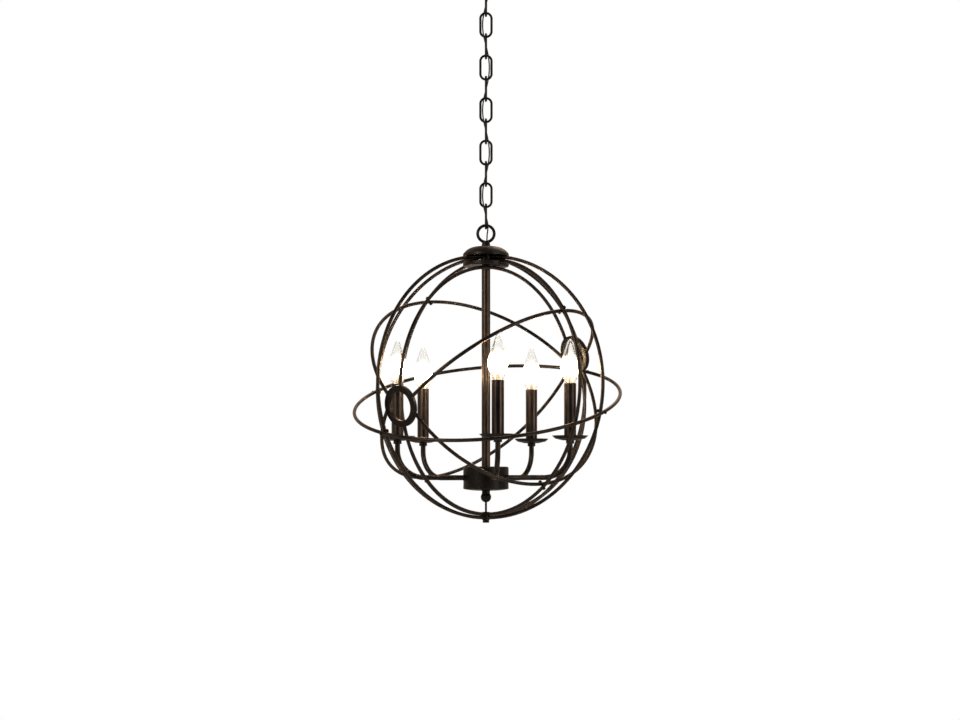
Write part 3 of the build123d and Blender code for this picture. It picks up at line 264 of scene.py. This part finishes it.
def link_wire(number):
    """One chain link, swept along its oval from one side of the seam to the other."""
    shape = bpy.data.curves.new(f"link_{number:02d}", "CURVE")
    shape.dimensions = "3D"
    shape.bevel_depth = LINK_WIRE
    shape.bevel_resolution = 6
    shape.use_fill_caps = True
    shape.resolution_u = 14
    run = shape.splines.new("BEZIER")
    side = LINK_HALF_WIDTH
    bend = LINK_HALF_HEIGHT - LINK_HALF_WIDTH
    bow = side * CIRCLE_HANDLE
    knots = (
        ((side, 0, SEAM), (0, 0, bend / 3)),
        ((side, 0, bend), (0, 0, bow)),
        ((0, 0, bend + side), (-bow, 0, 0)),
        ((-side, 0, bend), (0, 0, -bow)),
        ((-side, 0, -bend), (0, 0, -bow)),
        ((0, 0, -bend - side), (bow, 0, 0)),
        ((side, 0, -bend), (0, 0, bow)),
        ((side, 0, -SEAM), (0, 0, bend / 3)),
    )
    run.bezier_points.add(len(knots) - 1)
    for point, (place, reach) in zip(run.bezier_points, knots):
        point.co = place
        point.handle_left = Vector(place) - Vector(reach)
        point.handle_right = Vector(place) + Vector(reach)
    link = mesh_from_curve(f"chain_link_wire_{number:02d}", shape, chain_bronze)
    quarter = Matrix.Rotation(math.radians(90 if number % 2 else 0), 4, "Z")
    middle = FIRST_CROWN - (number - 1) * LINK_PITCH - LINK_HALF_HEIGHT
    link.data.transform(Matrix.Translation((0, 0, middle)) @ quarter)
    bpy.ops.object.shade_smooth()
    return link


for number in range(1, LINK_COUNT + 1):
    link = link_wire(number)
    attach(link, f"link_{number:02d}")
    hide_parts(f"chain_link_{number:02d}")

# ---------------------------------------------------------------- supply cord
# One thin round cord in a dark jacket runs from the ceiling through the canopy loop, winds down
# through the chain, passing from one diagonal to the next at every link, and enters the pipe.
CORD_RADIUS = 0.0013
CORD_SWING = 0.0062
CORD_TOP = -0.003
CANOPY_BORE = -0.0388
CANOPY_HINGE = -0.0673
MEETING_DROP = 0.002625
FIXTURE_BORE = -0.5213
CORD_END = -0.95145
first_meeting = FIRST_CROWN - MEETING_DROP
cord_reach = CORD_SWING / math.cos(math.pi / 8)
cord_route = [Vector((0, 0, CORD_TOP)), Vector((0, 0, CANOPY_BORE))]
for step in range(2 * LINK_COUNT + 1):
    turn = math.radians(45 + 45 * step)
    height = first_meeting - step * LINK_PITCH / 2
    cord_route.append(Vector((cord_reach * math.cos(turn), cord_reach * math.sin(turn), height)))
cord_route += [Vector((0, 0, FIXTURE_BORE)), Vector((0, 0, CORD_END))]

guide = bpy.data.curves.new("cord_guide", "CURVE")
guide.dimensions = "3D"
guide.resolution_u = 10
run = guide.splines.new("NURBS")
run.points.add(len(cord_route) - 1)
for point, place in zip(run.points, cord_route):
    point.co = (*place, 1)
run.order_u = 3
run.use_endpoint_u = True
guide_object = bpy.data.objects.new("cord_guide", guide)
bpy.context.scene.collection.objects.link(guide_object)
bpy.context.view_layer.update()
read = bpy.data.meshes.new_from_object(guide_object)
cord_line = [vertex.co.copy() for vertex in read.vertices]
bpy.data.objects.remove(guide_object)
bpy.data.meshes.remove(read)

jacket = metal("cord_jacket", (0.012, 0.01, 0.009), (0.03, 0.025, 0.021), 0.5, 0, patch=200, bite=0.00006)


def cord_length(name, line):
    """A length of cord along part of the line."""
    shape = bpy.data.curves.new(name, "CURVE")
    shape.dimensions = "3D"
    shape.bevel_depth = CORD_RADIUS
    shape.bevel_resolution = 4
    shape.use_fill_caps = True
    run = shape.splines.new("POLY")
    run.points.add(len(line) - 1)
    for point, place in zip(run.points, line):
        point.co = (*place, 1)
    cord = mesh_from_curve(name, shape, jacket)
    bpy.ops.object.shade_smooth()
    return cord


# The cord is cut at the middle of each link, so that each length runs over one joint of the chain,
# from the piece below the joint to the one above it.
middles = [FIRST_CROWN - LINK_HALF_HEIGHT - step * LINK_PITCH for step in range(LINK_COUNT)]
cuts = [math.inf] + middles + [-math.inf]
hinges = [CANOPY_HINGE] + [middle - LINK_HALF_HEIGHT for middle in middles]
for number, hinge in enumerate(hinges):
    inside = [i for i, place in enumerate(cord_line) if cuts[number + 1] <= place.z <= cuts[number]]
    cord = cord_length(f"supply_cord_{number:02d}", cord_line[max(inside[0] - 1, 0): inside[-1] + 2])
    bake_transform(cord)
    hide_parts("supply_cord")

# ---------------------------------------------------------------- top cap
# The cast loop screws down on a spun dome. Under it the rods' ends are welded to a boss, and a
# thick turned disc closes the cap from below.
for name in ("top_dome", "lower_disc"):
    finish_node(name, spun_bronze)
finish_node("fixture_loop", cast_bronze)
finish_node("upper_rod_boss", cast_bronze)

# ---------------------------------------------------------------- stem and lamp pipe
# A drawn tube slides over the threaded steel pipe that carries the weight. Its dark finish shows
# the drawing marks, which run along it.
drawn_bronze = metal(
    "drawn_bronze", (0.013, 0.009, 0.0068), (0.1, 0.065, 0.045), 0.28, 0.85,
    grain=(0.6, 0.6, 0.012), patch=30, share=0.75,
)
finish_node("stem_tube", drawn_bronze)
finish_node("lamp_pipe", zinc_plate)

# ---------------------------------------------------------------- hub and finial
# The hub is a spun drum closed by a turned cover, and a turned ball screws up against it.
for name in ("hub_drum", "hub_cover"):
    finish_node(name, spun_bronze)
for name in ("finial_ball", "tie_rod", "lower_rod_boss", "cap_nut"):
    finish_node(name, cast_bronze)

# ---------------------------------------------------------------- arms, pans and candle sleeves
# Five bent tubes rise from the hub. Each carries a spun drip pan and a drawn metal sleeve that
# hides the socket, in the same dark finish as the rest.
ARM_COUNT = 5
arm_bronze = metal("arm_bronze", (0.011, 0.0082, 0.0065), (0.046, 0.033, 0.025), 0.3, 0.85, patch=60)
sleeve_bronze = metal(
    "sleeve_bronze", (0.012, 0.0085, 0.0066), (0.088, 0.059, 0.042), 0.28, 0.85,
    grain=(0.5, 0.5, 0.015), patch=40, share=0.75,
)
phenolic = metal("socket_phenolic", (0.01, 0.01, 0.01), (0.02, 0.02, 0.02), 0.5, 0, patch=150)
for number in range(1, ARM_COUNT + 1):
    finish_node(f"arm_{number}", arm_bronze)
    finish_node(f"drip_pan_{number}", spun_bronze)
    finish_node(f"candle_sleeve_{number}", sleeve_bronze)
finish_node("lamp_sockets", phenolic)

# ---------------------------------------------------------------- bulbs
# A candle bulb: a thin clear envelope drawn to a point, a glass stem with two wires and a coiled
# filament, and a nickel screw base. It is lit, so the envelope glows white round the filament.
BULB_RISE = 0.0798
MILLIMETRE = 0.001
sleeve_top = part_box("candle_sleeve_1")[1].z


def turn_on_lathe(name, outline, steps=40):
    """A turned piece on the Z axis, from (radius, height) in millimetres, spun in edit mode."""
    radius, height = outline[0]
    bpy.ops.object.select_all(action="DESELECT")
    bpy.ops.mesh.primitive_plane_add(size=MILLIMETRE, location=(0, 0, 0))
    piece = bpy.context.object
    piece.name = name
    bpy.ops.object.mode_set(mode="EDIT")
    bpy.ops.mesh.select_all(action="SELECT")
    bpy.ops.mesh.merge(type="CENTER")
    bpy.ops.transform.translate(value=(radius * MILLIMETRE, 0, height * MILLIMETRE))
    for (radius, height), (next_radius, next_height) in zip(outline, outline[1:]):
        step = ((next_radius - radius) * MILLIMETRE, 0, (next_height - height) * MILLIMETRE)
        bpy.ops.mesh.extrude_region_move(TRANSFORM_OT_translate={"value": step})
    bpy.ops.mesh.select_all(action="SELECT")
    bpy.ops.mesh.spin(steps=steps, angle=math.tau, center=(0, 0, 0), axis=(0, 0, 1))
    bpy.ops.mesh.select_all(action="SELECT")
    bpy.ops.mesh.remove_doubles(threshold=MILLIMETRE / 100)
    bpy.ops.mesh.normals_make_consistent(inside=False)
    bpy.ops.object.mode_set(mode="OBJECT")
    bpy.ops.object.shade_smooth()
    return piece


envelope_glass = bpy.data.materials.new("envelope_glass")
envelope_glass.use_nodes = True
nodes = envelope_glass.node_tree.nodes
links = envelope_glass.node_tree.links
shader = nodes["Principled BSDF"]
shader.inputs["Base Color"].default_value = (1, 0.985, 0.96, 1)
shader.inputs["Transmission Weight"].default_value = 1.0
shader.inputs["IOR"].default_value = 1.45
shader.inputs["Roughness"].default_value = 0.02
place = nodes.new("ShaderNodeTexCoord")
axes = nodes.new("ShaderNodeSeparateXYZ")
links.new(place.outputs["Object"], axes.inputs[0])
level = nodes.new("ShaderNodeMapRange")
level.inputs["From Min"].default_value = sleeve_top
level.inputs["From Max"].default_value = sleeve_top + BULB_RISE
links.new(axes.outputs["Z"], level.inputs["Value"])
glow = nodes.new("ShaderNodeValToRGB")
glow.color_ramp.interpolation = "EASE"
colour_stops(glow, [
    (0.0, (0, 0, 0)),
    (0.12, (0, 0, 0)),
    (0.2, (0.03, 0.022, 0.012)),
    (0.31, (1, 0.82, 0.55)),
    (0.44, (1, 0.84, 0.58)),
    (0.55, (0.05, 0.04, 0.025)),
    (0.64, (0, 0, 0)),
])
links.new(level.outputs["Result"], glow.inputs["Fac"])
facing = nodes.new("ShaderNodeNewGeometry")
outward_glow = nodes.new("ShaderNodeMix")
outward_glow.data_type = "RGBA"
links.new(facing.outputs["Backfacing"], outward_glow.inputs["Factor"])
links.new(glow.outputs["Color"], outward_glow.inputs[6])
outward_glow.inputs[7].default_value = (0, 0, 0, 1)
links.new(outward_glow.outputs[2], shader.inputs["Emission Color"])
shader.inputs["Emission Strength"].default_value = 32.0
# The glass colour carries painted light from the glow: white round the filament, warm at its foot and greyer
# at its tip, and a painted shade darkest where it is seen edge on.
glow_light_by_height = nodes.new("ShaderNodeValToRGB")
colour_stops(glow_light_by_height, [
    (0.0, (0.93, 0.83, 0.71)),
    (0.12, (0.965, 0.89, 0.8)),
    (0.24, (1, 0.97, 0.92)),
    (0.36, (1, 1, 1)),
    (0.55, (1, 0.995, 0.985)),
    (0.66, (0.975, 0.962, 0.94)),
    (1.0, (0.95, 0.935, 0.905)),
])
links.new(level.outputs["Result"], glow_light_by_height.inputs["Fac"])
# Painted shade: the glass colour is darkened where it is seen edge on.
edge = nodes.new("ShaderNodeLayerWeight")
edge.inputs["Blend"].default_value = 0.5
painted_rim_shade = nodes.new("ShaderNodeValToRGB")
colour_stops(painted_rim_shade, [(0.28, (1, 1, 1)), (0.95, (0.84, 0.81, 0.77))])
links.new(edge.outputs["Facing"], painted_rim_shade.inputs["Fac"])
# The painted light by height and the painted rim shade are multiplied into the glass colour.
painted_glass_light = nodes.new("ShaderNodeMix")
painted_glass_light.data_type = "RGBA"
painted_glass_light.blend_type = "MULTIPLY"
painted_glass_light.inputs["Factor"].default_value = 1.0
links.new(glow_light_by_height.outputs["Color"], painted_glass_light.inputs[6])
links.new(painted_rim_shade.outputs["Color"], painted_glass_light.inputs[7])
links.new(painted_glass_light.outputs[2], shader.inputs["Base Color"])

nickel = metal("nickel_base", (0.5, 0.48, 0.44), (0.7, 0.68, 0.62), 0.3, 1.0, (0.3, 0.3, 4), 80)
clear_glass = bpy.data.materials.new("stem_glass")
clear_glass.use_nodes = True
nodes = clear_glass.node_tree.nodes
links = clear_glass.node_tree.links
shader = nodes["Principled BSDF"]
shader.inputs["Transmission Weight"].default_value = 1.0
shader.inputs["IOR"].default_value = 1.5
place = nodes.new("ShaderNodeTexCoord")
ripple = nodes.new("ShaderNodeTexNoise")
ripple.inputs["Scale"].default_value = 300
relief = nodes.new("ShaderNodeBump")
relief.inputs["Distance"].default_value = 0.0001
links.new(place.outputs["Object"], ripple.inputs["Vector"])
links.new(ripple.outputs["Fac"], relief.inputs["Height"])
links.new(relief.outputs["Normal"], shader.inputs["Normal"])
hot_wire = bpy.data.materials.new("hot_filament")
hot_wire.use_nodes = True
shader = hot_wire.node_tree.nodes["Principled BSDF"]
shader.inputs["Base Color"].default_value = (1, 0.7, 0.35, 1)
shader.inputs["Emission Color"].default_value = (1, 0.78, 0.48, 1)
shader.inputs["Emission Strength"].default_value = 60

envelope_outline = [
    (6.6, -1.2), (7.6, 0.8), (9.4, 3), (11.6, 6.5), (13.9, 11.5), (15.8, 17.5), (17, 24),
    (17.4, 30), (16.8, 36), (15.3, 43), (13.1, 50), (11, 56.5), (9.2, 62.5), (7.4, 68),
    (5.9, 72.4), (4.5, 75.6), (2.9, 78.2), (1.4, 79.4), (0, 79.8),
]
envelope = turn_on_lathe("envelope", envelope_outline, 48)
wall = envelope.modifiers.new("wall", "SOLIDIFY")
wall.thickness = 0.6 * MILLIMETRE
wall.offset = -1
bpy.ops.object.modifier_apply(modifier="wall")
envelope.data.materials.append(envelope_glass)

THREAD_TURNS = 6
THREAD_PITCH = 2.9
THREAD_FOOT = -22.6
screw_outline = [(0, -28), (2.2, -28), (3, -27), (3.2, -25.4), (5.1, -23.6)]
for ridge in range(THREAD_TURNS):
    low = THREAD_FOOT + ridge * THREAD_PITCH
    screw_outline += [(5.75, low + 0.5), (5.75, low + 1), (5.25, low + 1.9), (5.25, low + 2.3)]
screw_outline += [(5.7, -4.2), (5.9, -2.4), (5.9, -1.2), (5.4, -1.0), (0, -1.0)]
base = turn_on_lathe("base", screw_outline, 32)
base.data.materials.append(nickel)

stem_outline = [(0, -0.8), (4.6, -0.8), (4.4, 1.5), (2.6, 6), (1.7, 12), (1.5, 16), (0, 16.6)]
stem = turn_on_lathe("stem", stem_outline, 24)
stem.data.materials.append(clear_glass)


def thin_wire(name, places, radius, material):
    """A thin wire on a smooth line through its places, in millimetres."""
    shape = bpy.data.curves.new(name, "CURVE")
    shape.dimensions = "3D"
    shape.bevel_depth = radius * MILLIMETRE
    shape.bevel_resolution = 2
    shape.resolution_u = 6
    shape.use_fill_caps = True
    run = shape.splines.new("NURBS")
    run.points.add(len(places) - 1)
    for point, place in zip(run.points, places):
        point.co = (*(Vector(place) * MILLIMETRE), 1)
    run.order_u = 3
    run.use_endpoint_u = True
    return mesh_from_curve(name, shape, material)


left_wire = thin_wire("lead_left", [(-1.2, 0, 14), (-1.6, 0, 19), (-4.2, 0, 25), (-4.6, 0, 30)], 0.25, nickel)
right_wire = thin_wire("lead_right", [(1.2, 0, 14), (1.6, 0, 19), (4.2, 0, 25), (4.6, 0, 30)], 0.25, nickel)
COIL_STEPS = 56
COIL_RADIUS = 0.75
COIL_HALF_LENGTH = 4.6
coil = []
for step in range(COIL_STEPS + 1):
    around = step * math.tau / 6
    along = COIL_HALF_LENGTH * (2 * step / COIL_STEPS - 1)
    crown = 29.7 + 3.2 * math.cos(math.pi * along / 10)
    coil.append((along, COIL_RADIUS * math.sin(around), crown + COIL_RADIUS * math.cos(around)))
filament = thin_wire("filament", coil, 0.16, hot_wire)

bulb_parts = (
    ("envelope", envelope), ("base", base), ("stem", stem),
    ("lead_left", left_wire), ("lead_right", right_wire), ("filament", filament),
)
for number in range(1, ARM_COUNT + 1):
    sleeve_low, sleeve_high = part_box(f"candle_sleeve_{number}")
    stand = (sleeve_low + sleeve_high) / 2
    stand.z = sleeve_high.z
    turn = math.atan2(stand.x, -stand.y)
    for part_name, original in bulb_parts:
        part = original.copy()
        part.data = original.data.copy()
        part.name = f"bulb_{number}_{part_name}"
        bpy.context.scene.collection.objects.link(part)
        part.data.transform(Matrix.Translation(stand) @ Matrix.Rotation(turn, 4, "Z"))
        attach(part, f"bulb_{number}")
        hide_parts(f"bulb_{number}")
for part_name, original in bulb_parts:
    bpy.data.objects.remove(original)

# ---------------------------------------------------------------- globe
# Round rods bent to arcs make three vertical rings, two tilted hoops and a side hoop, all inside
# one another, with a whole tilted band outside. Small screws and nuts pin them where they cross.
rod_bronze = metal("rod_bronze", (0.0105, 0.0077, 0.006), (0.06, 0.041, 0.03), 0.27, 0.85, patch=24)
for name in (
    "meridian_ring_left", "meridian_ring_right", "meridian_ring_inner", "tilted_hoop_one",
    "tilted_hoop_two", "side_hoop", "outer_band",
):
    finish_node(name, rod_bronze)
for name in ("side_ring_front", "side_ring_back", "crossing_screws", "crossing_nuts"):
    finish_node(name, cast_bronze)

low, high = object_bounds()
